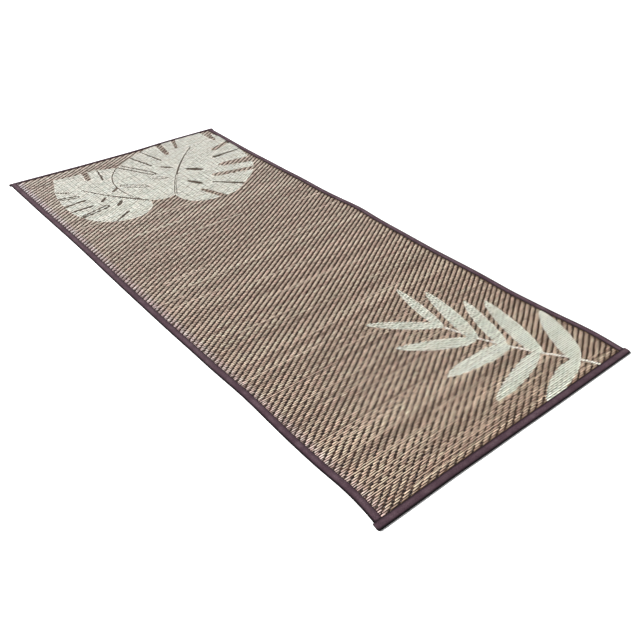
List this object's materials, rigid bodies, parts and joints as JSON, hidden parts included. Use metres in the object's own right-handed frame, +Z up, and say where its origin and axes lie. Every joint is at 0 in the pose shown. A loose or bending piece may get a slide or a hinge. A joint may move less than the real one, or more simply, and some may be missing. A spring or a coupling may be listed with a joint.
{
  "type": "tatami mat",
  "caption": "Thin oblong woven rush mat with slanted twill ribs, pale leaf motifs and a folded cloth tape binding on all sides.",
  "frame": {"origin": "middle of the underside, at the centre of the bounding box, on the ground that the mat lies on", "axes": "+X along the mat's length, from the end with the broad leaves to the end with the frond; +Y across its width; +Z up, out of the patterned face"},
  "size_m": [1.7999, 0.8172, 0.0046],
  "materials": {
    "woven_rush": "woven rush straw in beige with dark slanted lines and pale green cream leaves, slightly glossy straws",
    "binding_cloth": "matt dark purple brown woven tape"
  },
  "bodies": {
    "root": {"woven_panel": "woven_rush", "binding_front": "binding_cloth", "binding_back": "binding_cloth", "binding_far": "binding_cloth", "binding_near": "binding_cloth"}
  },
  "joints": []
}
